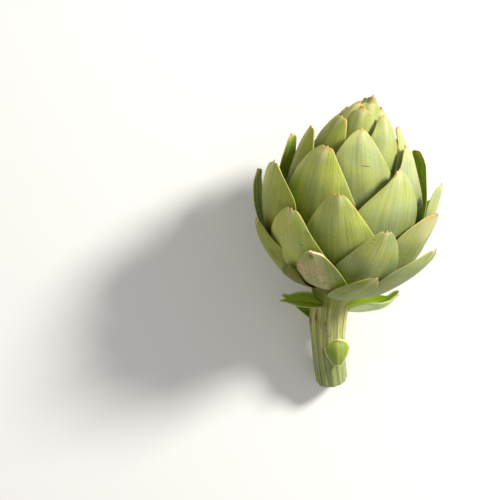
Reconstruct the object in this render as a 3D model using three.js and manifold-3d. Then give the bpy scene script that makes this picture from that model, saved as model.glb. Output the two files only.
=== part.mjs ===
// A globe artichoke as picked, lying on its side on a flat surface.
// Millimetres, +Z up, +Y towards the tip of the head. The origin is on the surface, in the small flat
// on which the head rests.
import * as THREE from "three";
import { mergeGeometries, mergeVertices } from "three/addons/utils/BufferGeometryUtils.js";
import Module from "manifold-3d";

// ---- Head: how it lies ----
const HEAD_TILT_DEG = 21; // tip raised from the surface
const HEAD_LEAN_DEG = 9.5; // tip swung from +Y towards +X
const HEAD_BASE = new THREE.Vector3(-7.2, -43.8, 33.9); // where the stem enters

// ---- Head: outer envelope, a radius that depends on the height along the axis ----
const HEAD_HEIGHT = 119;
const HEAD_RADIUS = 51;
const ENVELOPE_SKEW = 0.69; // below 1 the widest place is nearer to the base
const ENVELOPE_FULLNESS = 0.68; // below 1 the shoulders are rounder than a sine
const ENVELOPE_END = 0.985; // the formula is not used closer to the apex than this share
const CORE_INSET = 8.5; // the closed bud lies this far under the envelope
const CORE_START = 3; // height at which the bud begins
const BUD_RINGS = 10;
const BUD_SIDES = 18;

// ---- Head: spiral of bracts, counted from the outermost ----
const FIRST_BRACT = -1;
const LAST_BRACT = 35;
const SPIRAL_TURN_DEG = 136; // from each bract to the next
const SPIRAL_START_DEG = 18; // azimuth of bract 0; 0 faces up, + goes to the right
const LOWEST_TIP = 27;
const HIGHEST_TIP = 118.5;
const TIP_CROWDING = 1.65; // above 1 the tips crowd towards the apex
const LAYER_STEP = 0.62; // each bract lies this much under the one before it

// ---- Bract shape ----
// Stops are [bract index, value], with straight lines between them.
const HALF_WIDTH_STOPS = [[0, 17], [3, 19], [8, 20.5], [16, 20], [22, 16.5], [28, 12], [35, 7.5]];
const STAND_OFF_STOPS = [[0, 2.5], [6, 4], [10, 7], [20, 6.5], [25, 2], [35, 0.5]];
const ARCH_LENGTH = 30; // from the tip to where a bract is widest
const TIP_HALF_WIDTH = 3.6;
const ROOT_NARROWING = 0.5;
const STAND_OFF_REACH = 42; // length over which a tip bends away from the head
const STAND_OFF_POWER = 1.5;
const MARGIN_LIFT = -0.4; // above 0 the margins are flatter than the head, below 0 they hug it
const STRAIGHTNESS = 0.4; // of the sides, from the tip to the widest place
const RIDGE_HEIGHT = 1.3; // the middle stands above a plain arc, like a low roof
const RIDGE_ROUNDING = 0.12; // 0 is a sharp ridge
const RIDGE_SHARE_LOW = 0.4; // what is left of the ridge far from the tip
const RIDGE_REACH = 22; // length over which it fades
const FAR_SPREAD = 0.25; // bracts on the underside are this much wider
const WIDEST_WRAP = THREE.MathUtils.degToRad(95); // half angle round the axis
const SMALLEST_WRAP_RADIUS = 6;
const SMALLEST_RADIUS = 1.2;
const BRACT_THICKNESS = 1.9;
const MARGIN_THICKNESS = 0.9;
const STEEPEST_SLOPE = 3; // of the head's outline, beyond which a bract isn't measured aslant
const SINK = 1.5; // a root goes this deep into the bud
const LOWEST_ROOT = 1.2;
const ROOT_RISE = 0.6; // each root sits this much higher than the one before it
const ROOT_CURL = 7; // how far a root curls in towards the stem
const ROOT_CURL_REACH = 9;
const PRESSED_SHARE = 0.45; // bracts underneath stand off less
const ROWS = 5;
const COLUMNS = 6;
const ROW_CROWDING = 1.35; // above 1 the rows are closer together at the tip

// Bracts that grew out of line with the spiral. turn is the azimuth and rise the height of the tip,
// half the half width, lean how far the root is turned from the tip, out how far the tip stands off
// and reach the length over which it does. arch is the distance from the tip to the widest place,
// straight how straight the sides run to it, tip the half width of the tip, narrowing the share of
// the width lost to the root, root the height of the root and layer the bract that it lies level
// with. gape is how far the left and right margins of the upper half stand off. A fraction is an
// extra bract between two of the spiral's own.
const STRAYS = {
  "-1": {
    turn: -36, rise: 29, half: 9, lean: -6, out: 1, reach: 60, arch: 15, straight: 0.2, tip: 2.4,
    narrowing: 0.4, root: 9.5,
  },
  0: {
    turn: 18, rise: 35.5, half: 10.5, lean: -20, out: 7, reach: 55, arch: 14, straight: 0.25, tip: 2.4,
    narrowing: 0.9, root: 4,
  },
  1: { turn: 178, rise: 46, half: 21, out: 1.5, arch: 26 },
  1.5: { turn: -127 },
  2: {
    turn: -67, rise: 45, half: 20.5, lean: 14, out: 4, reach: 30, arch: 14, straight: 0, tip: 5.2,
    narrowing: 0.35, root: 5.5,
  },
  2.5: { turn: 130 },
  3: {
    turn: 56.5, rise: 48.5, half: 18.5, lean: -19, out: 7, reach: 31, arch: 14, straight: 0.2, tip: 3.6,
    narrowing: 0.6,
  },
  5: {
    turn: -18, rise: 44.5, half: 15.5, lean: 6, out: 6.5, reach: 56, arch: 19, straight: 0.4, tip: 4.4,
    narrowing: 0.2, root: 11.5,
  },
  6: {
    turn: 70.5, rise: 81.5, half: 14.5, lean: 26, out: 10, reach: 36, arch: 14, straight: 0, tip: 6,
    layer: 14,
  },
  6.5: { turn: 110, rise: 60, half: 19, out: 1, layer: 9 },
  7: { turn: -109.5, rise: 61, half: 9.5, lean: 30, out: 10, arch: 18, straight: 0.25, tip: 4.8 },
  8: {
    turn: 20.5, rise: 61, half: 20.5, lean: -7, out: 5.5, reach: 43, arch: 30, straight: 0.45, tip: 4.4,
    narrowing: 0.5, root: 11,
  },
  10: {
    turn: -38, rise: 62.5, half: 23.5, lean: 6, out: 7, reach: 45, arch: 30, straight: 0.45, tip: 4.8,
    narrowing: 0.5, root: 10, layer: 6,
  },
  11: {
    turn: 57, rise: 68, half: 21, lean: -6, out: 7.5, reach: 29, arch: 16, straight: 0.25, tip: 6.8,
    narrowing: 0.75,
  },
  13: {
    turn: -12, rise: 77, half: 26.5, lean: 15, out: 8, reach: 43, arch: 32, straight: 0.8, tip: 4.2,
    narrowing: 0.55, root: 14,
  },
  14: { turn: 123.5, rise: 86.5, half: 11.5, lean: -12, out: 5, arch: 38, straight: 1, tip: 3.8 },
  15: {
    turn: -66, rise: 80, half: 27.5, lean: -6, out: 11.5, reach: 84, arch: 21, straight: 0.2, tip: 4.2,
    narrowing: 0.5,
  },
  16: {
    turn: 30.5, rise: 91.5, half: 25, lean: -5, out: 7, reach: 44, arch: 29, straight: 0.7, tip: 3.2,
    narrowing: 0.5, gape: [5.5, 0],
  },
  18: {
    turn: -36, rise: 96, half: 28.5, lean: 4, out: 6, reach: 51, arch: 29, straight: 0.9, tip: 5,
    narrowing: 0.6,
  },
  19: {
    turn: 48, rise: 100.5, half: 18, lean: -5, out: 5.5, reach: 36, arch: 32, straight: 0.85, tip: 3.2,
    narrowing: 0.5, gape: [2.5, 0],
  },
  20: { turn: -116, rise: 84.5, half: 13.5, lean: 16, out: 9.5, arch: 24, straight: 0.3, tip: 5.2 },
  21: {
    turn: -7, rise: 108, half: 23.5, lean: 23, out: 7, reach: 39, arch: 35, straight: 0.3, tip: 2.8,
    narrowing: 0.5, gape: [2.5, 0],
  },
  21.5: { turn: -152 },
  22: { turn: 60, rise: 108, half: 8, lean: -34, out: 2, arch: 33, straight: 0.45, tip: 2.2 },
  22.5: { turn: 98, rise: 90, half: 20, out: -3, layer: 20 },
  23: { turn: -70, rise: 100.5, half: 18.5, lean: 2, out: 7.5, arch: 31, straight: 0.5, tip: 4 },
  24: { turn: 28.5, rise: 114.5, half: 14.5, lean: -24, out: 6.5, arch: 29, straight: 0.5, tip: 2.8 },
  26: { turn: -47, rise: 109.5, half: 17.5, lean: -10, out: 3.5, arch: 29, straight: 0.45, tip: 4 },
  27: { turn: 97, rise: 104, half: 18, out: -1 },
  28: { turn: -134, rise: 108, out: 0 },
  29: { turn: -15, rise: 115, half: 14, lean: 5, out: 3.5, arch: 27, straight: 0.3, tip: 6 },
  30: { turn: -48, rise: 117.5, half: 10.5, lean: -4, out: 2, arch: 26, straight: 0.35, tip: 3.2 },
  31: { turn: -72, rise: 112.5, half: 7, lean: -24, out: 1.5, arch: 33, straight: 0.5, tip: 2.4 },
  32: { turn: 51, rise: 115.5, half: 10.5, lean: -8, out: 0.5, arch: 29, straight: 0.4, tip: 3.2 },
  33: { turn: 4, rise: 121, half: 15, out: 0.5, reach: 14, arch: 13, straight: 0.2, tip: 3.6, layer: 30 },
  34: { turn: -28, rise: 120, half: 14, out: 0, reach: 14, arch: 14, straight: 0.2, tip: 3.2, layer: 32 },
  35: { turn: 170, rise: 119, half: 11, out: 0, reach: 14, arch: 14, straight: 0.2, tip: 2.4 },
};

// ---- Stem ----
const STEM_CUT = new THREE.Vector3(-7.1, -96.2, 8.1); // middle of the cut end
const STEM_CUT_RADIUS = 9;
const STEM_TOP_RADIUS = 10.6;
const STEM_BEND_SHARE = 0.35; // place of the bend, as a share of the way from the head to the cut
const STEM_BOW = new THREE.Vector3(-6.5, 0, 0); // how far the bend is pulled to the left
const STEM_PLUG = 12; // length that goes up into the head
const STEM_FLARE = 4; // extra radius just under the head
const FLARE_FROM = 20; // the flare grows between these distances from the top end
const FLARE_TO = 7;
const STEM_RIBS = 12;
const STEM_RIB_HEIGHT = 0.28;
const STEM_SIDES = 48;
const STEM_RINGS = 9;
const GAP = 0.55; // added to the radius of the opening round the stem: 0.3 is left at its narrowest

// ---- Leaves on the stem. Each has a midrib, a direction in which its trough opens, a half width,
// a fold, the angle by which each half is turned up from flat, a blunt tip as a share of the half
// width, a notch at the middle of the tip, and a fullness, below 1 for a rounder outline. ----
const LEAF_THICKNESS = 1.3;
const LEAVES = {
  stem_leaf_right: {
    midrib: [[1.5, -54, 26], [11, -54.2, 25], [22, -51.8, 26], [32.5, -44.5, 29]],
    opens: [-0.4, 0.85, 0.35],
    half: 13,
    fold: 46,
    tip: 0.4,
    notch: 6,
    fullness: 1,
  },
  stem_leaf_left: {
    midrib: [[-14, -49.8, 40.5], [-22, -48.8, 38.5], [-30, -47.8, 35.5], [-38.5, -46.8, 32]],
    opens: [0.25, 0.5, 0.83],
    half: 6.5,
    fold: 26,
    tip: 0.55,
    notch: 2.6,
    fullness: 0.7,
  },
  stem_leaf_lower: {
    midrib: [[-15.5, -60, 21.5], [-20, -57, 20.5], [-25, -53.5, 18.5], [-30.5, -49.8, 16.5]],
    opens: [0.35, 0.3, 0.87],
    half: 6.5,
    fold: 50,
    tip: 0.2,
    notch: 0,
    fullness: 1,
  },
  stem_bud_bract: {
    midrib: [[-5.6, -70.6, 28.2], [-5.4, -74.4, 31.6], [-5.2, -79.9, 30.8], [-4.9, -87, 26.4]],
    opens: [0.04, -0.38, -0.92],
    half: 8.6,
    fold: 26,
    tip: 0.1,
    notch: 0,
    fullness: 0.36,
  },
};
const LEAF_ROWS = 8;
const LEAF_COLUMNS = 6;
const LEAF_ROOT_SHARE = 0.16; // how far along its sine outline a leaf starts
const NOTCH_POWER = 4; // above 1 a notch is only at the tip
const LOBE_TURNS = 0.8; // of a wave from the midrib to the margin, which rounds the tip's two lobes

// ---- Surface on which it lies ----
const SURFACE_SIDE = 400;
const SURFACE_DEPTH = 60;

const wasm = await Module();
wasm.setup();

// ---- General helpers ----

// Value at x of a line through [x, value] stops.
function throughStops(stops, x) {
  const next = stops.findIndex(([stop]) => stop >= x);
  if (next === 0) return stops[0][1];
  if (next < 0) return stops[stops.length - 1][1];
  const [x0, y0] = stops[next - 1];
  const [x1, y1] = stops[next];
  return THREE.MathUtils.mapLinear(x, x0, x1, y0, y1);
}

// A closed solid from a geometry whose vertices lie on each other at its seams.
function solidOf(geometry) {
  const bare = new THREE.BufferGeometry();
  bare.setAttribute("position", geometry.getAttribute("position"));
  bare.setIndex(geometry.getIndex());
  const merged = mergeVertices(bare);
  return new wasm.Manifold(new wasm.Mesh({
    numProp: 3,
    vertProperties: new Float32Array(merged.getAttribute("position").array),
    triVerts: new Uint32Array(merged.getIndex().array),
  }));
}

// The largest body of a solid: a loose scrap is dropped and a sealed hollow is filled.
function mainBody(solid) {
  return solid.decompose().reduce((best, piece) => (piece.volume() > best.volume() ? piece : best));
}

function namedMesh(name, solid, material) {
  const { vertProperties, triVerts } = mainBody(solid).getMesh();
  const geometry = new THREE.BufferGeometry();
  geometry.setAttribute("position", new THREE.BufferAttribute(vertProperties, 3));
  geometry.setIndex(new THREE.BufferAttribute(triVerts, 1));
  geometry.computeVertexNormals();
  const mesh = new THREE.Mesh(geometry, material);
  mesh.name = name;
  return mesh;
}

// Bends a flat grid of unit squares: place(share along, share across) gives each vertex its place.
// cellOf turns a vertex's whole-number column and row into the row and column of the blade.
function bentGrid(width, height, cellOf, columns, rows, place) {
  const grid = new THREE.PlaneGeometry(width, height, width, height);
  const position = grid.getAttribute("position");
  for (let i = 0; i < position.count; i += 1) {
    const x = Math.round(position.getX(i) + width / 2);
    const y = Math.round(position.getY(i) + height / 2);
    const { row, column, inner } = cellOf(x, y);
    const point = place(row / rows, (2 * column) / columns - 1, inner);
    position.setXYZ(i, point.x, point.y, point.z);
  }
  return grid;
}

// The row and column that a walk round the edge of a blade has come to.
function edgeCell(step, columns, rows) {
  if (step <= columns) return { row: 0, column: step };
  if (step <= columns + rows) return { row: step - columns, column: columns };
  if (step <= 2 * columns + rows) return { row: rows, column: 2 * columns + rows - step };
  return { row: 2 * (columns + rows) - step, column: 0 };
}

// A thin closed blade: an outer face, an inner face split into like triangles, and a rim.
// place(share along, share across, inner) gives the surface.
function bladeSolid(columns, rows, place) {
  const outerCell = (x, y) => ({ row: y, column: x, inner: false });
  const innerCell = (x, y) => ({ row: y, column: x, inner: true });
  const rimCell = (x, y) => ({ ...edgeCell(x, columns, rows), inner: y === 0 });
  const front = bentGrid(columns, rows, outerCell, columns, rows, place);
  const back = bentGrid(columns, rows, innerCell, columns, rows, place);
  back.index.array.reverse();
  const rim = bentGrid(2 * (columns + rows), 1, rimCell, columns, rows, place);
  return solidOf(mergeGeometries([front, back, rim]));
}

// ---- Head ----
const headTilt = THREE.MathUtils.degToRad(HEAD_TILT_DEG);
const headLean = THREE.MathUtils.degToRad(HEAD_LEAN_DEG);
const headAxis = new THREE.Vector3(
  Math.sin(headLean) * Math.cos(headTilt),
  Math.cos(headLean) * Math.cos(headTilt),
  Math.sin(headTilt),
);
const headRight = new THREE.Vector3().crossVectors(headAxis, new THREE.Vector3(0, 0, 1)).normalize();
const headUp = new THREE.Vector3().crossVectors(headRight, headAxis);

// A point of the head from its height along the axis, its distance from it and its azimuth.
function headPoint(height, radius, azimuth) {
  return HEAD_BASE.clone()
    .addScaledVector(headAxis, height)
    .addScaledVector(headUp, radius * Math.cos(azimuth))
    .addScaledVector(headRight, radius * Math.sin(azimuth));
}

function envelopeRadius(height) {
  const share = THREE.MathUtils.clamp(height / HEAD_HEIGHT, 0, ENVELOPE_END);
  return HEAD_RADIUS * Math.sin(Math.PI * share ** ENVELOPE_SKEW) ** ENVELOPE_FULLNESS;
}

function tipHeight(index) {
  const left = Math.max(1 - index / LAST_BRACT, 0);
  return HIGHEST_TIP - (HIGHEST_TIP - LOWEST_TIP) * left ** TIP_CROWDING;
}

// The bract, counted as a real number, whose tip would be at this height.
function indexAt(height) {
  const left = Math.max((HIGHEST_TIP - height) / (HIGHEST_TIP - LOWEST_TIP), 0);
  return LAST_BRACT * (1 - left ** (1 / TIP_CROWDING));
}

// Height at which a bract that nothing pushes out of line has sunk into the bud.
function rootHeight(index) {
  const layers = (CORE_INSET + SINK) / LAYER_STEP;
  return Math.max(tipHeight(index - layers), LOWEST_ROOT + ROOT_RISE * Math.max(index, 0));
}

function bractAt(index) {
  const turn = SPIRAL_START_DEG + index * SPIRAL_TURN_DEG;
  const facingUp = Math.cos(THREE.MathUtils.degToRad(turn));
  const pressed = 1 - PRESSED_SHARE + PRESSED_SHARE * facingUp;
  const wider = 1 + (FAR_SPREAD * (1 - facingUp)) / 2;
  return {
    layer: index,
    turn,
    rise: tipHeight(index),
    half: throughStops(HALF_WIDTH_STOPS, index) * wider,
    out: throughStops(STAND_OFF_STOPS, index) * pressed,
    reach: STAND_OFF_REACH,
    lean: 0,
    arch: ARCH_LENGTH,
    straight: STRAIGHTNESS,
    tip: TIP_HALF_WIDTH,
    narrowing: ROOT_NARROWING,
    root: rootHeight(index),
    gape: [0, 0],
    ...STRAYS[index],
  };
}

// The spiral's own bracts and the extra ones between them.
function bractIndexes() {
  const spiral = Array.from({ length: LAST_BRACT - FIRST_BRACT + 1 }, (_, step) => FIRST_BRACT + step);
  const extra = Object.keys(STRAYS).map(Number).filter((index) => !Number.isInteger(index));
  return [...spiral, ...extra];
}

// Half width at a distance from the tip: it grows to the widest place and narrows to the root.
function bractHalfWidth(bract, fromTip, length) {
  const way = Math.min(fromTip / bract.arch, 1);
  const arch = THREE.MathUtils.lerp(Math.sin((Math.PI / 2) * way), way, bract.straight);
  const pastArch = THREE.MathUtils.clamp((fromTip - bract.arch) / Math.max(length - bract.arch, 1), 0, 1);
  return THREE.MathUtils.lerp(bract.tip, bract.half, arch) * (1 - bract.narrowing * pastArch ** 2);
}

// Distance of the outer face from the axis of the head, along the middle of a bract.
function bractFace(bract, height) {
  const under = LAYER_STEP * Math.max(bract.layer - indexAt(height), 0);
  const bend = THREE.MathUtils.clamp(1 - (bract.rise - height) / bract.reach, 0, 1) ** STAND_OFF_POWER;
  const nearRoot = THREE.MathUtils.clamp(1 - (height - bract.root) / ROOT_CURL_REACH, 0, 1);
  const face = envelopeRadius(height) - under + bract.out * bend - ROOT_CURL * nearRoot ** 2;
  return Math.max(face, SMALLEST_RADIUS);
}

function bractPoint(bract, along, across, inner) {
  const length = bract.rise - bract.root;
  const fromTip = length * (1 - along) ** ROW_CROWDING;
  const height = bract.rise - fromTip;
  const face = bractFace(bract, height);
  const wrapRadius = Math.max(face, SMALLEST_WRAP_RADIUS);
  const flat = bractHalfWidth(bract, fromTip, length) / wrapRadius;
  const wrap = WIDEST_WRAP * Math.tanh(flat / WIDEST_WRAP);
  const lift = (MARGIN_LIFT * wrapRadius * (across * wrap) ** 2) / 2;
  const ridgeShare = THREE.MathUtils.lerp(RIDGE_SHARE_LOW, 1, Math.exp(-fromTip / RIDGE_REACH));
  const ridge = RIDGE_HEIGHT * ridgeShare * (1 - Math.hypot(across, RIDGE_ROUNDING));
  const upperHalf = THREE.MathUtils.smoothstep(length - fromTip, 0, length / 2);
  const gape = bract.gape[across < 0 ? 0 : 1] * across ** 2 * upperHalf;
  const nearEdge = Math.max(across ** 2, along ** 2);
  const thickness = THREE.MathUtils.lerp(BRACT_THICKNESS, MARGIN_THICKNESS, nearEdge);
  const slope = Math.abs(envelopeRadius(height + 1) - envelopeRadius(height));
  const deep = inner ? thickness * Math.hypot(1, Math.min(slope, STEEPEST_SLOPE)) : 0;
  const least = inner ? SMALLEST_RADIUS : SMALLEST_RADIUS + MARGIN_THICKNESS;
  const azimuth = THREE.MathUtils.degToRad(bract.turn + bract.lean * (fromTip / length)) + across * wrap;
  return headPoint(height, Math.max(face + lift + ridge + gape - deep, least), azimuth);
}

// The closed bud under the bracts.
function budSolid() {
  const profile = [new THREE.Vector2(0, CORE_START)];
  for (let i = 0; i <= BUD_RINGS; i += 1) {
    const height = THREE.MathUtils.lerp(CORE_START, HEAD_HEIGHT * ENVELOPE_END, i / BUD_RINGS);
    profile.push(new THREE.Vector2(Math.max(envelopeRadius(height) - CORE_INSET, SMALLEST_RADIUS), height));
  }
  profile.push(new THREE.Vector2(0, HEAD_HEIGHT * ENVELOPE_END));
  const bud = new THREE.LatheGeometry(profile, BUD_SIDES);
  const frame = new THREE.Matrix4().makeBasis(headRight, headAxis, headUp);
  frame.setPosition(HEAD_BASE);
  bud.applyMatrix4(frame);
  return solidOf(bud);
}

function headSolid() {
  const blades = [];
  for (const index of bractIndexes()) {
    const bract = bractAt(index);
    blades.push(bladeSolid(COLUMNS, ROWS, (along, across, inner) => bractPoint(bract, along, across, inner)));
  }
  return blades.reduce((whole, blade) => whole.add(blade), budSolid());
}

// ---- Stem ----
function stemSolid(extra) {
  const top = HEAD_BASE.clone().addScaledVector(headAxis, STEM_PLUG + extra);
  const bend = HEAD_BASE.clone().lerp(STEM_CUT, STEM_BEND_SHARE).add(STEM_BOW);
  const path = new THREE.QuadraticBezierCurve3(STEM_CUT, bend, top);
  const length = path.getLength();
  const stem = new THREE.CylinderGeometry(1, 1, 1, STEM_SIDES, STEM_RINGS);
  const position = stem.getAttribute("position");
  for (let i = 0; i < position.count; i += 1) {
    const share = position.getY(i) + 0.5;
    const angle = Math.atan2(position.getX(i), position.getZ(i));
    const middle = Math.hypot(position.getX(i), position.getZ(i));
    const tangent = path.getTangentAt(share);
    const right = new THREE.Vector3().crossVectors(tangent, new THREE.Vector3(0, 0, 1)).normalize();
    const up = new THREE.Vector3().crossVectors(right, tangent);
    const flaring = THREE.MathUtils.smoothstep(share * length, length - FLARE_FROM, length - FLARE_TO);
    const rib = STEM_RIB_HEIGHT * Math.cos(STEM_RIBS * angle);
    const plain = THREE.MathUtils.lerp(STEM_CUT_RADIUS, STEM_TOP_RADIUS, share);
    const radius = plain + STEM_FLARE * flaring + rib + extra;
    const point = path.getPointAt(share)
      .addScaledVector(right, middle * radius * Math.sin(angle))
      .addScaledVector(up, middle * radius * Math.cos(angle));
    position.setXYZ(i, point.x, point.y, point.z);
  }
  return solidOf(stem);
}

// ---- Leaves on the stem ----
function leafSolid(leaf) {
  const midrib = new THREE.CatmullRomCurve3(leaf.midrib.map((point) => new THREE.Vector3(...point)));
  const opens = new THREE.Vector3(...leaf.opens).normalize();
  const fold = THREE.MathUtils.degToRad(leaf.fold);
  const place = (along, across, inner) => {
    const outline = Math.sin(Math.PI * THREE.MathUtils.lerp(LEAF_ROOT_SHARE, 1, along));
    const share = Math.max(Math.max(outline, 0) ** leaf.fullness, leaf.tip);
    const reach = leaf.half * share * Math.abs(across);
    const tangent = midrib.getTangentAt(along);
    const side = new THREE.Vector3().crossVectors(tangent, opens).normalize();
    const normal = new THREE.Vector3().crossVectors(side, tangent);
    const lobe = (1 + Math.cos(2 * Math.PI * LOBE_TURNS * across)) / 2;
    const back = leaf.notch * along ** NOTCH_POWER * lobe;
    return midrib.getPointAt(along)
      .addScaledVector(side, Math.sign(across) * reach * Math.cos(fold))
      .addScaledVector(normal, reach * Math.sin(fold) - (inner ? LEAF_THICKNESS : 0))
      .addScaledVector(tangent, -back);
  };
  return bladeSolid(LEAF_COLUMNS, LEAF_ROWS, place);
}

// ---- Materials ----
const bractGreen = new THREE.MeshStandardMaterial({ color: 0xa3ae66, roughness: 0.62, metalness: 0 });
const stemGreen = new THREE.MeshStandardMaterial({ color: 0x8f9a52, roughness: 0.7, metalness: 0 });
const leafGreen = new THREE.MeshStandardMaterial({ color: 0x7f9a3c, roughness: 0.55, metalness: 0 });

// ---- Assembly ----
function surfaceBelow() {
  const slab = new THREE.BoxGeometry(SURFACE_SIDE, SURFACE_SIDE, SURFACE_DEPTH);
  slab.translate(0, 0, -SURFACE_DEPTH / 2);
  return solidOf(slab);
}

const artichoke = new THREE.Group();
const below = surfaceBelow();
const clearOfStem = stemSolid(GAP);
const head = headSolid().subtract(clearOfStem).subtract(below);
artichoke.add(namedMesh("head", head, bractGreen));
artichoke.add(namedMesh("stem", stemSolid(0).subtract(below), stemGreen));
for (const [name, leaf] of Object.entries(LEAVES)) {
  artichoke.add(namedMesh(name, leafSolid(leaf).subtract(clearOfStem), leafGreen));
}

export default artichoke;
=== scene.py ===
# A globe artichoke as picked, lying on its side: the bracts of its head, its bud, its ribbed stem and
# the small leaves on the stem.
import math
import random

import bmesh
import bpy
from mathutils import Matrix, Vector, noise


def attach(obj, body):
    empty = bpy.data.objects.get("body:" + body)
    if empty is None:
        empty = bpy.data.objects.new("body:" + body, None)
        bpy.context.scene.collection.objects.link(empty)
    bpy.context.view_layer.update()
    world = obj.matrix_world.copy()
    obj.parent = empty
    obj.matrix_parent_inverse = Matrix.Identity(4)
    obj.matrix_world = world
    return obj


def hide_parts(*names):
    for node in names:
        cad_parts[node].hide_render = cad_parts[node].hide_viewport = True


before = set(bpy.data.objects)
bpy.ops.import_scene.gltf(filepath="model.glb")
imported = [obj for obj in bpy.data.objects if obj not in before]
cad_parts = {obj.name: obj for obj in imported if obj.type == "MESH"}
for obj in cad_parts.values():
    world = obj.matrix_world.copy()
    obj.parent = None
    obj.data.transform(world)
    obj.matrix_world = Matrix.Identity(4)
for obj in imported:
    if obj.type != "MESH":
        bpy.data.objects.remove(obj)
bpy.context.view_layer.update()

bl_info = {
    "name": "Artichoke",
    "version": (1, 0, 0),
    "blender": (4, 5, 0),
    "location": "View3D > Sidebar > Artichoke",
    "description": "Grows a globe artichoke bract by bract, on its stem",
    "category": "Add Mesh",
}

MM = 0.001  # metres in a millimetre; the shapes below are worked out in millimetres

# ---- Head: how it lies, and its envelope ----
HEAD_TILT = math.radians(21)
HEAD_LEAN = math.radians(9.5)
HEAD_BASE = Vector((-7.2, -43.8, 33.9))
HEAD_HEIGHT = 119
HEAD_RADIUS = 51
ENVELOPE_SKEW = 0.69
ENVELOPE_FULLNESS = 0.68
ENVELOPE_END = 0.985
CORE_INSET = 8.5
CORE_START = 3
# The neck's dark green is painted shade under the head.
NECK_SHADE_BEGINS, NECK_SHADE_ENDS = (-8.5, -4.5), (26, 14)  # heights between which its dark green comes and goes

# ---- Spiral of bracts, counted from the outermost ----
FIRST_BRACT = -1
LAST_BRACT = 35
SPIRAL_TURN = 136
SPIRAL_START = 18
LOWEST_TIP = 27
HIGHEST_TIP = 118.5
TIP_CROWDING = 1.65
LAYER_STEP = 0.62
HALF_WIDTH_STOPS = [(0, 17), (3, 19), (8, 20.5), (16, 20), (22, 16.5), (28, 12), (35, 7.5)]
STAND_OFF_STOPS = [(0, 2.5), (6, 4), (10, 7), (20, 6.5), (25, 2), (35, 0.5)]
STAND_OFF_REACH = 42
STAND_OFF_POWER = 1.5
PRESSED_SHARE = 0.45
WIDEST_WRAP = math.radians(95)
SMALLEST_WRAP_RADIUS = 6
SMALLEST_RADIUS = 1.2
SMALLEST_LENGTH = 1
LOWEST_ROOT = 1.2
ROOT_RISE = 0.6  # each root sits this much higher than the one before it
ROOT_CURL = 7  # how far a root curls in towards the stem
ROOT_CURL_REACH = 9
FAR_SPREAD = 0.25  # bracts on the underside are this much wider
ROOT_SINK = 1.5
AGED_BRACTS = 14  # so many of the lowest bracts look old, the outermost most of all
FLUSHED_BRACTS = 16  # and so many have pale patches

# ---- Details of a bract, in millimetres ----
LENGTH_STEPS = 120
SIDE_WOBBLE, SIDE_GRAIN = 0.018, 0.16  # how uneven the sides are, as a share of the width
CORNER_DROP = 1.7  # how far the corners of a blunt tip fall back
NOTCH_ASIDE, NOTCH_WIDTH = 1.1, 0.6
FRINGE_DEPTH, FRINGE_GRAIN = 0.35, 1.3
DIP_FADE = 3.2  # the rows behind the tip follow its shape over this length
LONGEST_SPIKE = 3
ROW_CROWDING = 1.25  # rows stand closer together near the tip
UPPER_REACH = 22  # the ridge flattens over this length below the tip
CREST_HEIGHT, CREST_WIDTH, CREST_ROUNDING = 0.25, 1.6, 0.12
LOWER_RIDGE = 0.4  # share of the ridge that is left near the root
CURL_REACH = 1.8
TUCK_FROM, TUCK_TO = 6, 18
MARGIN_WAVE, SKIN_WAVE = 0.5, 0.3
STEEPEST = 3  # steepest slope of the head at which a bract keeps its thickness
THINNING_ASIDE, THINNING_ALONG = 2, 6  # powers by which a blade thins to its margins and its tip
FLOOR_GAP, INNER_GAP = 0.02, 0.6  # no outer face comes closer to the floor, and no inner face much closer
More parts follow.
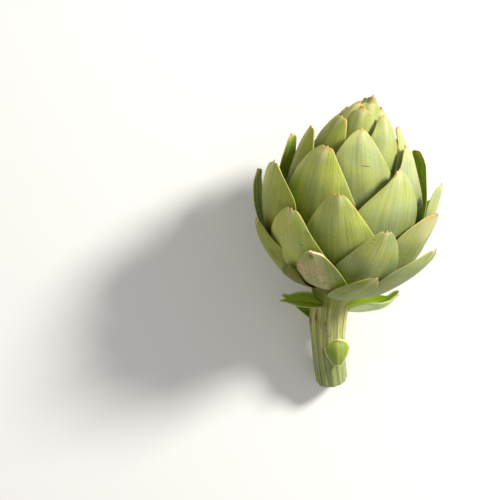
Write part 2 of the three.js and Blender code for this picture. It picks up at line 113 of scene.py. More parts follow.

# Bracts that grew out of line with the spiral. A fraction is an extra bract between two of its own.
# What a bract doesn't name here, it takes from the rules in bract_at.
#   turn, rise: azimuth and height of the tip; lean, root: turn of the root from the tip, and its height
#   half, tip: half width at the widest place and at the tip; narrowing: share of it lost to the root
#   arch, straight: distance from the tip to the widest place, and how straight the sides run to it
#   out, reach: how far the tip stands off, and the length over which it does
#   layer: the bract that it lies level with
#   gape, tuck: how far the left and right margins stand off further up, and sink in further down
#   spike, spike_at, spike_wide, notch: the point in the middle of the tip, and the notches beside it
#   curl: thickness of a rolled tip; dent: a hollow's distances aside and from the tip, radius, depth
#   mark: a brown mark's distances aside and from the tip, its width, length and strength
#   shade, flush, wax, dry: lighter or darker skin, a little at random and
# #   otherwise as painted light and shade; pale patches; bluer skin as a painted sheen on lit bracts and
# #   yellower skin as painted shade on shaded ones; and a wider dried tip
# The tone set here for a bract is mostly painted light and shade: a bract is made lighter or darker as a
# whole for the side of it that the camera sees, those at the far left darkest, so bract 20 looks too dark
# from behind.
STRAYS = {
    -1: dict(turn=-36, rise=29, half=9, lean=-6, out=1, reach=60, arch=15, straight=0.2,
        tip=2.4, narrowing=0.4, root=9.5, spike=0.2, shade=-0.62, flush=0, wax=-0.9, dry=-0.9),
    0: dict(turn=18, rise=35.5, half=10.5, lean=-20, out=7, reach=55, arch=14, straight=0.25,
        tip=2.4, narrowing=0.9, root=4, shade=-0.1, flush=0.1, wax=-0.2),
    1: dict(turn=178, rise=46, half=21, out=1.5, arch=26),
    1.5: dict(turn=-127),
    2: dict(turn=-67, rise=45, half=20.5, lean=14, out=4, reach=30, arch=14, straight=0, tip=5.2,
        narrowing=0.35, root=5.5, shade=-0.14, flush=0.9, wax=-0.5, dry=-0.4, tuck=(0, 8),
        mark=(6.5, 16.5, 2.4, 4, 0.55)),
    2.5: dict(turn=130),
    3: dict(turn=56.5, rise=48.5, half=18.5, lean=-19, out=7, reach=31, arch=14, straight=0.2,
        tip=3.6, narrowing=0.6, shade=-0.05, flush=0.35),
    5: dict(turn=-18, rise=44.5, half=15.5, lean=6, out=6.5, reach=56, arch=19, straight=0.4,
        tip=4.4, narrowing=0.2, root=11.5, curl=3.6, shade=-0.05, flush=1.3, wax=-0.15, dry=1.4,
        spike=0.1, notch=0.1, dent=(-2.6, 4.2, 2, 2), mark=(-2.8, 4, 2.2, 2.2, 0.6)),
    6: dict(turn=70.5, rise=81.5, half=14.5, lean=26, out=10, reach=36, arch=14, straight=0, tip=6,
        layer=14, shade=0.15, wax=0.3),
    6.5: dict(turn=110, rise=60, half=19, out=1, layer=9),
    7: dict(turn=-109.5, rise=61, half=9.5, lean=30, out=10, arch=18, straight=0.25, tip=4.8,
        shade=0.06, wax=-0.3),
    8: dict(turn=20.5, rise=61, half=20.5, lean=-7, out=5.5, reach=43, arch=30, straight=0.45,
        tip=4.4, narrowing=0.5, root=11, shade=0, flush=0.5, wax=0.05),
    10: dict(turn=-38, rise=62.5, half=23.5, lean=6, out=7, reach=45, arch=30, straight=0.45,
        tip=4.8, narrowing=0.5, root=10, layer=6, shade=0.2, flush=0.85, wax=-0.2, dry=0.5),
    11: dict(turn=57, rise=68, half=21, lean=-6, out=7.5, reach=29, arch=16, straight=0.25,
        tip=6.8, narrowing=0.75, shade=-0.07, flush=0.55, wax=0.15, dry=2.6, mark=(3.6, 1.4, 2, 1.5, 0.7)),
    13: dict(turn=-12, rise=77, half=26.5, lean=15, out=8, reach=43, arch=32, straight=0.8,
        tip=4.2, narrowing=0.55, root=14, shade=0.28, flush=0.25, dry=0.6),
    14: dict(turn=123.5, rise=86.5, half=11.5, lean=-12, out=5, arch=38, straight=1, tip=5.2,
        spike=0.2, notch=0.2, shade=0.5, wax=0.6),
    15: dict(turn=-66, rise=80, half=27.5, lean=-6, out=11.5, reach=84, arch=21, straight=0.2,
        tip=4.2, narrowing=0.5, shade=0, flush=0.1, wax=-0.25),
    16: dict(turn=30.5, rise=91.5, half=25, lean=-5, out=7, reach=44, arch=29, straight=0.7,
        tip=3.2, narrowing=0.5, gape=(5.5, 0), spike=0.2, shade=-0.04, wax=0.45, dry=0.7),
    18: dict(turn=-36, rise=96, half=28.5, lean=4, out=6, reach=51, arch=29, straight=0.9, tip=5,
        narrowing=0.6, shade=0.2, flush=0, dry=0.9),
    19: dict(turn=48, rise=100.5, half=18, lean=-5, out=5.5, reach=36, arch=32, straight=0.85,
        tip=3.2, narrowing=0.5, gape=(2.5, 0), shade=0, wax=0.95),
    20: dict(turn=-116, rise=84.5, half=13.5, lean=16, out=9.5, arch=24, straight=0.3, tip=5.2,
        shade=-0.7, wax=-0.3),
    21: dict(turn=-7, rise=108, half=23.5, lean=23, out=7, reach=39, arch=35, straight=0.3,
        tip=2.8, narrowing=0.5, gape=(2.5, 0), shade=0.04, flush=0, wax=0.5, dry=0.5,
        mark=(2, 18, 3.2, 0.35, 0.8)),
    21.5: dict(turn=-152),
    22: dict(turn=60, rise=108, half=8, lean=-34, out=2, arch=33, straight=0.45, tip=2.2,
        spike=0.4, notch=0.2, wax=0.3),
    22.5: dict(turn=98, rise=90, half=19, out=-4.4, layer=20),
    23: dict(turn=-70, rise=100.5, half=18.5, lean=2, out=7.5, arch=31, straight=0.5, tip=4,
        shade=-0.1, flush=0, wax=-0.6),
    24: dict(turn=28.5, rise=114.5, half=14.5, lean=-24, out=6.5, arch=29, straight=0.5, tip=2.8,
        spike=0.4, notch=0.3, shade=-0.12, wax=0.4, dry=0.3),
    26: dict(turn=-47, rise=109.5, half=17.5, lean=-10, out=3.5, arch=29, straight=0.45, tip=4,
        shade=-0.14, flush=0.1, wax=-0.15),
    27: dict(turn=97, rise=104, half=18, out=-1),
    28: dict(turn=-134, rise=108, out=0),
    29: dict(turn=-15, rise=115, half=14, lean=5, out=3.5, arch=27, straight=0.3, tip=6,
        spike=2.4, spike_at=-1, spike_wide=1.4, notch=0.2, shade=-0.14, dry=-0.1),
    30: dict(turn=-48, rise=117.5, half=10.5, lean=-4, out=2, arch=26, straight=0.35, tip=3.2, dry=0.5),
    31: dict(turn=-72, rise=112.5, half=7, lean=-24, out=1.5, arch=33, straight=0.5, tip=2.4,
        spike=0.4, notch=0.2),
    32: dict(turn=51, rise=115.5, half=10.5, lean=-8, out=0.5, arch=29, straight=0.4, tip=3.2,
        spike=0.8, wax=0.1, dry=1),
    33: dict(turn=4, rise=121, half=15, out=0.5, reach=14, arch=13, straight=0.2, tip=3.6, layer=30,
        spike=0.9, spike_at=0.2, spike_wide=1.5, notch=0, dry=0.5, shade=-0.12),
    34: dict(turn=-28, rise=120, half=14, out=0, reach=14, arch=14, straight=0.2, tip=3.2, layer=32,
        spike=0.4, notch=0.1, dry=0.2, shade=-0.3, wax=-0.3),
    35: dict(turn=170, rise=119, half=11, out=0, reach=14, arch=14, straight=0.2, tip=2.4, dry=0.2),
}

# ---- Stem ----
STEM_CUT = Vector((-7.1, -96.2, 8.1))
STEM_BEND_SHARE = 0.35
STEM_BOW = Vector((-6.5, 0, 0))
STEM_PLUG = 12
STEM_FLARE = 4
FLARE_FROM = 20
FLARE_TO = 7
STEM_RIBS = 12
STEM_WRAP = 11  # millimetres round the stem for each radian
STEM_SIDES = 120
STEM_ROWS = 56
STEM_STEPS = 40
RIM_ROUNDING, RIM_DROP = 0.9, 0.5
FINE_RIB = 0.1
CALM_FROM, CALM_TO, CALM_SHARE = 32, 14, 0.6  # the ribs fade this far below the top

# A swelling below each side leaf: height, azimuth and width in radians, and how it rises and falls.
STEM_SWELLINGS = [
    (1.3, -1.7, 0.5, (26, 12, 44, 8)),
    (0.3, 1.5, 0.4, (30, 14, 48, 6)),
]

# Brown marks on the stem: how far round and how far up from the cut, width, length and strength.
STEM_MARKS = [
    (-9.9, 44, 1.1, 5, 0.9),
    (-2.6, 41.5, 0.7, 2.4, 0.8),
    (-16, 39, 1.6, 2.6, 0.9),
    (13.7, 43, 1.3, 2.2, 0.7),
]

# ---- Leaves on the stem ----
# The tone set for each leaf is painted light and shade: each leaf is made lighter or darker as a whole,
# most of them lighter where they lie in the head's shade.
LEAVES = {
    "stem_leaf_right": dict(
        midrib=[(1.5, -54, 26), (11, -54.2, 25), (22, -51.8, 26), (32.5, -44.5, 29)],
        opens=(-0.4, 0.85, 0.35), half=13, fold=46, tip=0.4, notch=6, bloom=1, shade=0.3),
    "stem_leaf_left": dict(
        midrib=[(-14, -49.8, 40.5), (-22, -48.8, 38.5), (-30, -47.8, 35.5), (-38.5, -46.8, 32)],
        opens=(0.25, 0.5, 0.83), half=6.5, fold=26, tip=0.55, notch=2.6, fullness=0.7, bloom=0, shade=0.15),
    "stem_leaf_lower": dict(
        midrib=[(-15.5, -60, 21.5), (-20, -57, 20.5), (-25, -53.5, 18.5), (-30.5, -49.8, 16.5)],
        opens=(0.35, 0.3, 0.87), half=8, fold=50, tip=0.2, notch=0, bloom=0, shade=0.5),
    "stem_bud_bract": dict(
        midrib=[(-5.6, -70.6, 28.2), (-5.4, -74.4, 31.6), (-5.2, -79.9, 30.8), (-4.9, -87, 26.4)],
        opens=(0.04, -0.38, -0.92), half=8.6, fold=26, tip=0.1, notch=0, fullness=0.46, bloom=0,
        shade=-0.2, torn=True, mark=(1.5, 15.4, 4.2, 0.6, 0.9)),
}
LEAF_ROOT_SHARE = 0.16
LEAF_THICKNESS, LEAF_MARGIN = 1.1, 0.45
LEAF_GRID = (24, 30)
LEAF_SEED_STEP = 9.7
RUFFLE = 0.5
NOTCH_POWER = 4
LOBE_TURNS = 0.8
TORN_SHARE = 0.35

# ---- Closed bud ----
BUD_RINGS = 40
BUD_SIDES = 64
SAME_PLACE = 1e-6  # corners closer than this, in metres, are one

# ---- Large light, as angles round from the right and up from the floor, and the camera ----
KEY_AROUND = 32
KEY_ABOVE = 34
KEY_SIZE = 0.37
KEY_DISTANCE = 1.6
KEY_COLOUR = (1, 0.975, 0.93)
SKY_COLOUR = (1, 0.985, 0.965)
CAMERA_X, CAMERA_Y = -0.05604, -0.0188
FLOOR_SIZE = 6

# ---- Tones that no setting changes ----
ROOT_PALE = (0.42, 0.44, 0.16)
GOLDEN_RIM = (0.60, 0.46, 0.16)
# Pale cream of a rolled dried tip, partly its own colour and partly a painted highlight.
PALE_TIP_AND_HIGHLIGHT = (0.70, 0.63, 0.40)
SCAR_BROWN = (0.20, 0.11, 0.05)
CRACK_BROWN = (0.20, 0.125, 0.055)
MARK_BROWN = (0.20, 0.115, 0.045)
BURNT_BROWN = (0.17, 0.085, 0.03)
STEM_PALE = (0.50, 0.50, 0.24)
STEM_FROST = (0.58, 0.66, 0.46)
STEM_STAIN = (0.27, 0.15, 0.05)
STEM_SCAR = (0.17, 0.10, 0.04)
STEM_MARK = (0.20, 0.13, 0.03)
PITH_DARK = (0.42, 0.42, 0.22)
PITH_PALE = (0.62, 0.60, 0.38)
RIND = (0.26, 0.22, 0.08)
# Pale silver-green bloom, made lighter as painted light where the leaf's near flap lies in shade.
LEAF_BLOOM_AND_PAINTED_LIGHT = (0.60, 0.70, 0.38)
BUD_OLIVE = (0.24, 0.28, 0.05)

# Shares of red, green and blue that are left of a skin where it is tucked in under older bracts, as painted
# # shade in the gaps; low on the stem; at the neck, as painted shade under the head; and in the mottled
# # patches of a leaf.
PAINTED_GAP_SHADE = (0.42, 0.38, 0.05)
LOW_DOWN = (0.62, 0.74, 0.78)
SHADE_AT_THE_NECK = (0.95, 0.95, 0.45)
MOTTLED = (0.5, 0.62, 0.5)


# ---- What a user may change ----
COLOUR = dict(size=3, min=0, max=1, subtype="COLOR")


class BractSizes(bpy.types.PropertyGroup):
    """How a single bract is shaped."""

    thickness: bpy.props.FloatProperty(
        name="Thickness", description="Thickness along the middle of a bract",
        default=1.8 * MM, min=0.8 * MM, max=3 * MM, unit="LENGTH")
    margin: bpy.props.FloatProperty(
        name="Margin", description="Thickness at the margins of a bract",
        default=0.45 * MM, min=0.3 * MM, max=1.5 * MM, unit="LENGTH")
    arch: bpy.props.FloatProperty(
        name="Arch", description="Distance from the tip to where a bract is widest",
        default=30 * MM, min=10 * MM, max=60 * MM, unit="LENGTH")
    blunt_tip: bpy.props.FloatProperty(
        name="Blunt tip", description="Half width of the blunt tip",
        default=3.6 * MM, min=0.5 * MM, max=8 * MM, unit="LENGTH")
    straightness: bpy.props.FloatProperty(
        name="Straightness", description="How straight the sides run from the tip to the widest place",
        default=0.4, min=0, max=1, subtype="FACTOR")
    root_narrowing: bpy.props.FloatProperty(
        name="Root narrowing", description="Share of its width that a bract loses down to its root",
        default=0.5, min=0, max=0.8, subtype="FACTOR")
    flatness: bpy.props.FloatProperty(
        name="Flatness", description="How much flatter than the head the margins lie; below 0, they hug it",
        default=-0.4, min=-1, max=1, subtype="FACTOR")
    ridge: bpy.props.FloatProperty(
        name="Ridge", description="How far the middle of a bract stands above a plain arc, like a low roof",
        default=1.3 * MM, min=0, max=4 * MM, unit="LENGTH")
    spike: bpy.props.FloatProperty(
        name="Spike", description="Length of the small spike in the middle of a tip",
        default=1.5 * MM, min=0, max=4 * MM, unit="LENGTH")
    notch: bpy.props.FloatProperty(
        name="Notch", description="Depth of the notches beside the spike",
        default=0.8 * MM, min=0, max=3 * MM, unit="LENGTH")
    columns: bpy.props.IntProperty(
        name="Columns", description="Faces across a bract", default=20, min=8, max=40)
    rows: bpy.props.IntProperty(
        name="Rows", description="Faces along a bract", default=26, min=8, max=60)


class StemSizes(bpy.types.PropertyGroup):
    """How the stem is shaped."""

    cut_radius: bpy.props.FloatProperty(
        name="Cut radius", description="Radius of the stem at its cut end",
        default=9 * MM, min=4 * MM, max=15 * MM, unit="LENGTH")
    top_radius: bpy.props.FloatProperty(
        name="Top radius", description="Radius of the stem under the head",
        default=10.6 * MM, min=4 * MM, max=15 * MM, unit="LENGTH")
    rib: bpy.props.FloatProperty(
        name="Rib", description="Height of the ribs along the stem",
        default=0.28 * MM, min=0, max=2 * MM, unit="LENGTH")


class Colours(bpy.types.PropertyGroup):
    """The colours of skin, margins and tips."""

    young: bpy.props.FloatVectorProperty(
        name="Young bracts", description="Skin of the upper bracts",
        default=(0.40, 0.455, 0.10), **COLOUR)
    old: bpy.props.FloatVectorProperty(
        name="Old bracts", description="Skin of the lowest bracts",
        default=(0.25, 0.30, 0.085), **COLOUR)
    bloom: bpy.props.FloatVectorProperty(
        name="Bloom", description="Waxy grey-green bloom on the skin",
        default=(0.29, 0.385, 0.19), **COLOUR)
    blush: bpy.props.FloatVectorProperty(
        name="Blush", description="Pinkish tan patches of the lowest bracts",
        default=(0.50, 0.42, 0.22), **COLOUR)
    inner: bpy.props.FloatVectorProperty(
        name="Inner face", description="Inner faces of bracts and leaves",
        default=(0.165, 0.25, 0.008), **COLOUR)
    olive: bpy.props.FloatVectorProperty(
        name="Olive", description="Yellower patches, and the skin towards the tips",
        default=(0.38, 0.40, 0.06), **COLOUR)
    margin: bpy.props.FloatVectorProperty(
        name="Margin", description="Thin pale margins",
        default=(0.50, 0.50, 0.14), **COLOUR)
    cream: bpy.props.FloatVectorProperty(
        name="Cream", description="Pale skin just under the dried tips",
        default=(0.62, 0.56, 0.30), **COLOUR)
    tip: bpy.props.FloatVectorProperty(
        name="Tip", description="Dried tips",
        default=(0.52, 0.33, 0.085), **COLOUR)
    stem: bpy.props.FloatVectorProperty(
        name="Stem", description="Ridges of the stem",
        default=(0.53, 0.54, 0.19), **COLOUR)
    groove: bpy.props.FloatVectorProperty(
        name="Groove", description="Grooves between the ridges of the stem",
        default=(0.21, 0.23, 0.04), **COLOUR)
    # Painted shade: the neck's dark green stands in for the shade under the head.
    neck: bpy.props.FloatVectorProperty(
        name="Neck", description="Dark green neck between the stem and the lowest bracts",
        default=(0.10, 0.125, 0.004), **COLOUR)
    leaf: bpy.props.FloatVectorProperty(
        name="Leaf", description="Outer faces of the leaves on the stem",
        default=(0.30, 0.38, 0.06), **COLOUR)
    rim: bpy.props.FloatVectorProperty(
        name="Rim", description="Cream rims of the leaves on the stem",
        default=(0.60, 0.58, 0.30), **COLOUR)


class StageSettings(bpy.types.PropertyGroup):
    """The floor, the lights and the camera."""

    floor: bpy.props.FloatVectorProperty(
        name="Floor", description="Colour of the floor",
        default=(0.86, 0.85, 0.84), **COLOUR)
    key_power: bpy.props.FloatProperty(
        name="Key light", description="Power of the large light on the right",
        default=39, min=0, unit="POWER")
    sky: bpy.props.FloatProperty(
        name="Sky", description="Strength of the even light from all round", default=0.5, min=0)
    lens: bpy.props.FloatProperty(
        name="Lens", description="Focal length of the camera, in millimetres",
        default=119.664, min=10, max=400, subtype="DISTANCE_CAMERA")
    distance: bpy.props.FloatProperty(
        name="Distance", description="Height of the camera above the floor",
        default=1.0, min=0.2, max=5, unit="LENGTH")


# ---- General helpers ----
def clamp(value, low, high):
    return max(low, min(high, value))


def mix(a, b, share):
    return a + (b - a) * share


def smooth(low, high, value):
    """0 below low and 1 above high, smooth between them."""
    share = clamp((value - low) / (high - low), 0, 1)
    return share * share * (3 - 2 * share)


def through_stops(stops, x):
    """Value at x of straight lines through (x, value) stops."""
    if x <= stops[0][0]:
        return stops[0][1]
    for (x0, y0), (x1, y1) in zip(stops, stops[1:]):
        if x <= x1:
            return mix(y0, y1, (x - x0) / (x1 - x0))
    return stops[-1][1]


def ripple(x, y, z=0):
    """Smooth noise between about -1 and 1."""
    return noise.noise(Vector((x, y, z)))


def finish(shape, name, material, node, smoothing=1):
    """Turns a bmesh into a piece that stands for a CAD node and rides on the artichoke."""
    bmesh.ops.recalc_face_normals(shape, faces=shape.faces[:])
    mesh = bpy.data.meshes.new(name)
    shape.to_mesh(mesh)
    shape.free()
    mesh.shade_smooth()
    mesh.materials.append(material)
    piece = bpy.data.objects.new(name, mesh)
    bpy.context.scene.collection.objects.link(piece)
    if smoothing:
        finer = piece.modifiers.new("Smooth skin", "SUBSURF")
        finer.levels = smoothing
        finer.render_levels = smoothing
    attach(piece, "root")
    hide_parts(node)


# What each corner tells its skin, in millimetres: lie is how far it is from the middle and from the
# # tip, edge how far from the edge, deep how far under the head's surface. inside is 1 on inner faces
# # and on the stem's cut. tint holds shade, flush and age, where the tone is partly
# # painted light and shade; mark holds the way from a brown mark in its own sizes, and the strength of
# # the mark. On the stem, lie runs round it and up from the cut, and marks is the strength of its own
# # brown marks.
SKIN_VECTORS = ("lie", "tint", "mark")
SKIN_NUMBERS = ("inside", "edge", "wax", "dry", "deep")
STEM_NUMBERS = ("inside", "edge", "ridge", "marks")
NO_MARK = (0, 0, 1, 1, 0)


def settle(shape, place, vectors, numbers):
    """Moves every corner to where place says, and gives it what its skin has to know there."""
    layers = {name: shape.verts.layers.float_vector.new(name) for name in vectors}
    layers.update({name: shape.verts.layers.float.new(name) for name in numbers})
    for vert in shape.verts:
        spot, skin = place(vert.co)
        vert.co = spot * MM
        for name, value in skin.items():
            vert[layers[name]] = value


def blade(columns, rows, place, back_to_front=False):
    """A closed thin blade: a flat grid, thickened by extruding it, and then bent to where place says.

    place(across, along, inner) gives the spot in millimetres and what the skin has to know there."""
    shape = bmesh.new()
    bmesh.ops.create_grid(shape, x_segments=columns, y_segments=rows, size=1)
    grown = bmesh.ops.extrude_face_region(shape, geom=shape.faces[:])
    inner_side = [part for part in grown["geom"] if isinstance(part, bmesh.types.BMVert)]
    bmesh.ops.translate(shape, verts=inner_side, vec=(0, 0, -1))

    def corner(flat):
        inner = flat.z < -0.5
        spot, skin = place(flat.x, (flat.y + 1) / 2, inner)
        spot.z = max(spot.z, FLOOR_GAP + (INNER_GAP if inner else 0))
        return spot, dict(skin, inside=float(inner != back_to_front))

    settle(shape, corner, SKIN_VECTORS, SKIN_NUMBERS)
    return shape


def mark_way(mark, aside, from_tip):
    """The way from a brown mark in its own sizes, and the strength of the mark."""
    mark_aside, mark_back, width, length, strength = mark
    return Vector(((aside - mark_aside) / width, (from_tip - mark_back) / length, strength))


def thinned(thickness, margin, across, along):
    """Thickness of a blade, which thins to its margins and its tip."""
    return mix(thickness, margin, max(abs(across) ** THINNING_ASIDE, along ** THINNING_ALONG))


# ---- Head ----
HEAD_AXIS = Vector((
    math.sin(HEAD_LEAN) * math.cos(HEAD_TILT),
    math.cos(HEAD_LEAN) * math.cos(HEAD_TILT),
    math.sin(HEAD_TILT),
))
HEAD_RIGHT = HEAD_AXIS.cross(Vector((0, 0, 1))).normalized()
HEAD_UP = HEAD_RIGHT.cross(HEAD_AXIS)


def head_point(height, radius, azimuth):
    """A spot by the head, from its height along the axis, its distance from it, and its azimuth."""
    side = HEAD_UP * math.cos(azimuth) + HEAD_RIGHT * math.sin(azimuth)
    return HEAD_BASE + HEAD_AXIS * height + side * radius


def envelope_radius(height):
    """Radius of the head's round outline at a height."""
    share = clamp(height / HEAD_HEIGHT, 0, ENVELOPE_END)
    return HEAD_RADIUS * math.sin(math.pi * share ** ENVELOPE_SKEW) ** ENVELOPE_FULLNESS


def tip_height(index):
    """Height of the tip of a bract in the spiral."""
    left = max(1 - index / LAST_BRACT, 0)
    return HIGHEST_TIP - (HIGHEST_TIP - LOWEST_TIP) * left ** TIP_CROWDING


def index_at(height):
    """The bract, counted as a real number, whose tip would be at this height."""
    left = max((HIGHEST_TIP - height) / (HIGHEST_TIP - LOWEST_TIP), 0)
    return LAST_BRACT * (1 - left ** (1 / TIP_CROWDING))


def bract_at(index, sizes):
    """All that is known of a bract: its values by the rules of the spiral, and then those in STRAYS."""
    turn = SPIRAL_START + index * SPIRAL_TURN
    pressed = 1 - PRESSED_SHARE + PRESSED_SHARE * math.cos(math.radians(turn))
    wider = 1 + FAR_SPREAD * (1 - math.cos(math.radians(turn))) / 2
    covered = tip_height(index - (CORE_INSET + ROOT_SINK) / LAYER_STEP)
    chance = random.Random(f"bract {index}")
    bract = dict(
        index=index,
        layer=index,
        turn=turn,
        rise=tip_height(index),
        half=through_stops(HALF_WIDTH_STOPS, index) * wider,
        out=through_stops(STAND_OFF_STOPS, index) * pressed,
        reach=STAND_OFF_REACH,
        lean=0,
        arch=sizes.arch / MM,
        straight=sizes.straightness,
        tip=sizes.blunt_tip / MM,
        narrowing=sizes.root_narrowing,
        root=max(covered, LOWEST_ROOT + ROOT_RISE * max(index, 0)),
        thick=sizes.thickness / MM,
        seed=chance.uniform(0, 90),
        spike=sizes.spike / MM * chance.uniform(0.4, 1.2),
        spike_at=chance.uniform(-0.6, 0.6),
        spike_wide=0.5,
        notch=sizes.notch / MM * chance.uniform(0.4, 1.5),
        shade=chance.uniform(-0.08, 0.08),
        flush=clamp(1 - index / FLUSHED_BRACTS, 0, 1) * chance.uniform(0.05, 0.35),
        wax=0,
        dry=0,
        curl=0,
        gape=(0, 0),
        tuck=(0, 0),
        dent=(0, 0, 1, 0),
        mark=NO_MARK,
    )
    bract.update(STRAYS.get(index, {}))
    bract["length"] = bract["rise"] - bract["root"]
    bract["heights"] = even_heights(bract)
    return bract


def bract_indexes():
    extra = [index for index in STRAYS if index != int(index)]
    return list(range(FIRST_BRACT, LAST_BRACT + 1)) + extra


def layer_depth(bract, height):
    """How far the bract lies under the head's surface, because of the bracts that grew before it."""
    return LAYER_STEP * max(bract["layer"] - index_at(height), 0)


def bract_face(bract, from_tip):
    """Distance of the outer face from the axis of the head, along the middle of the bract."""
    height = bract["rise"] - from_tip
    under = layer_depth(bract, height)
    bend = clamp(1 - from_tip / bract["reach"], 0, 1) ** STAND_OFF_POWER
    curl = ROOT_CURL * clamp(1 - (height - bract["root"]) / ROOT_CURL_REACH, 0, 1) ** 2
    return max(envelope_radius(height) - under + bract["out"] * bend - curl, SMALLEST_RADIUS)


def even_heights(bract):
    """Distances from the tip at even steps of the bract's own curved length, from root to tip."""
    line = []
    gone = 0
    before = None
    for i in range(LENGTH_STEPS + 1):
        from_tip = bract["length"] * (1 - i / LENGTH_STEPS)
        spot = (bract_face(bract, from_tip), from_tip)
        if before:
            gone += math.dist(before, spot)
        before = spot
        line.append((gone, from_tip))
    return [(way / gone, from_tip) for way, from_tip in line]


def bract_half_width(bract, from_tip):
    """Half width of a bract, which narrows to its blunt tip and to its root."""
    way = clamp(from_tip / bract["arch"], 0, 1)
    arch = mix(math.sin(math.pi / 2 * way), way, bract["straight"])
    past = clamp((from_tip - bract["arch"]) / max(bract["length"] - bract["arch"], SMALLEST_LENGTH), 0, 1)
    width = mix(bract["tip"], bract["half"], arch) * (1 - bract["narrowing"] * past ** 2)
    return width * (1 + SIDE_WOBBLE * ripple(from_tip * SIDE_GRAIN, bract["seed"]))


def tip_dip(bract, aside):
    """How far the edge of a blunt tip falls back, aside millimetres from its middle."""
    from_spike = aside - bract["spike_at"]
    corner = CORNER_DROP * abs(aside / bract["tip"]) ** 3
    notches = bract["notch"] * math.exp(-(((abs(from_spike) - NOTCH_ASIDE) / NOTCH_WIDTH) ** 2))
    spike = bract["spike"] * math.exp(-((from_spike / bract["spike_wide"]) ** 2))
    fringe = FRINGE_DEPTH * ripple(aside * FRINGE_GRAIN, bract["seed"], 3)
    return corner + notches - spike + fringe


def bract_place(bract, sizes):
    """The rule that puts each corner of a bract's grid in its place on the head."""
    thin = sizes.margin / MM
    age = clamp(1 - bract["index"] / AGED_BRACTS, 0, 1)
    tint = Vector((bract["shade"], bract["flush"], age))

    def place(across, along, inner):
        side = 0 if across < 0 else 1
        from_tip = through_stops(bract["heights"], 1 - (1 - along) ** ROW_CROWDING)
        half = bract_half_width(bract, from_tip)
        dip = tip_dip(bract, across * bract["tip"]) * math.exp(-from_tip / DIP_FADE)
        from_tip = clamp(from_tip + dip, -LONGEST_SPIKE, bract["length"])
        height = bract["rise"] - from_tip
        face = bract_face(bract, from_tip)
        aside = across * half

        # A wide bract wraps round the head, and its margins lie flatter than the head or hug it.
        wrap_radius = max(face, SMALLEST_WRAP_RADIUS)
        angle = across * WIDEST_WRAP * math.tanh(half / wrap_radius / WIDEST_WRAP)
        lift = sizes.flatness * wrap_radius * angle ** 2 / 2

        # The ridge along the middle, the tip's curl, the margins' gape and tuck, and a dent.
        upper = math.exp(-max(from_tip, 0) / UPPER_REACH)
        keel = CREST_HEIGHT * upper * math.exp(-((aside / CREST_WIDTH) ** 2))
        keel += sizes.ridge / MM * mix(LOWER_RIDGE, 1, upper) * (1 - math.hypot(across, CREST_ROUNDING))
        keel += 0 if inner else bract["curl"] * math.exp(-max(from_tip, 0) / CURL_REACH)
        keel += bract["gape"][side] * across ** 2 * smooth(bract["length"], bract["length"] / 2, from_tip)
        keel -= bract["tuck"][side] * across ** 2 * smooth(TUCK_FROM, TUCK_TO, from_tip)
        dent_aside, dent_back, dent_radius, dent_depth = bract["dent"]
        away = math.hypot(aside - dent_aside, from_tip - dent_back) / dent_radius
        keel -= dent_depth * math.exp(-away ** 2)

        wave = MARGIN_WAVE * across ** 2 * ripple(across * 1.5, from_tip * 0.07, bract["seed"])
        wave += SKIN_WAVE * ripple(aside * 0.13, from_tip * 0.09, bract["seed"] + 7)
        deep = 0
        if inner:
            slope = envelope_radius(height + 1) - envelope_radius(height)
            deep = thinned(bract["thick"], thin, across, along) * math.hypot(1, min(abs(slope), STEEPEST))
        radius = max(face + lift + keel + wave - deep, SMALLEST_RADIUS + (0 if inner else thin))
        lean = bract["lean"] * clamp(from_tip / bract["length"], 0, 1)
        return head_point(height, radius, math.radians(bract["turn"] + lean) + angle), dict(
            lie=Vector((across * mix(half, bract["half"], 0.35), from_tip, bract["seed"])),
            tint=tint,
            mark=mark_way(bract["mark"], aside, from_tip),
            edge=min((1 - abs(across)) * half, max(from_tip - dip, 0) * 0.9),
            wax=bract["wax"],
            dry=bract["dry"],
            deep=0 if inner else layer_depth(bract, height),
        )

    return place


# ---- Stem ----
def bezier(a, b, c, share):
    """A spot on the curve from a to c that b draws towards itself."""
    return a * (1 - share) ** 2 + b * (2 * share * (1 - share)) + c * share ** 2


def bezier_tangent(a, b, c, share):
    return ((b - a) * (1 - share) + (c - b) * share).normalized()


def hump(way, low, rise, high, fall):
    """A swelling that starts at low, is full at low + rise, and ends at high + fall."""
    return smooth(low, low + rise, way) * (1 - smooth(high, high + fall, way))


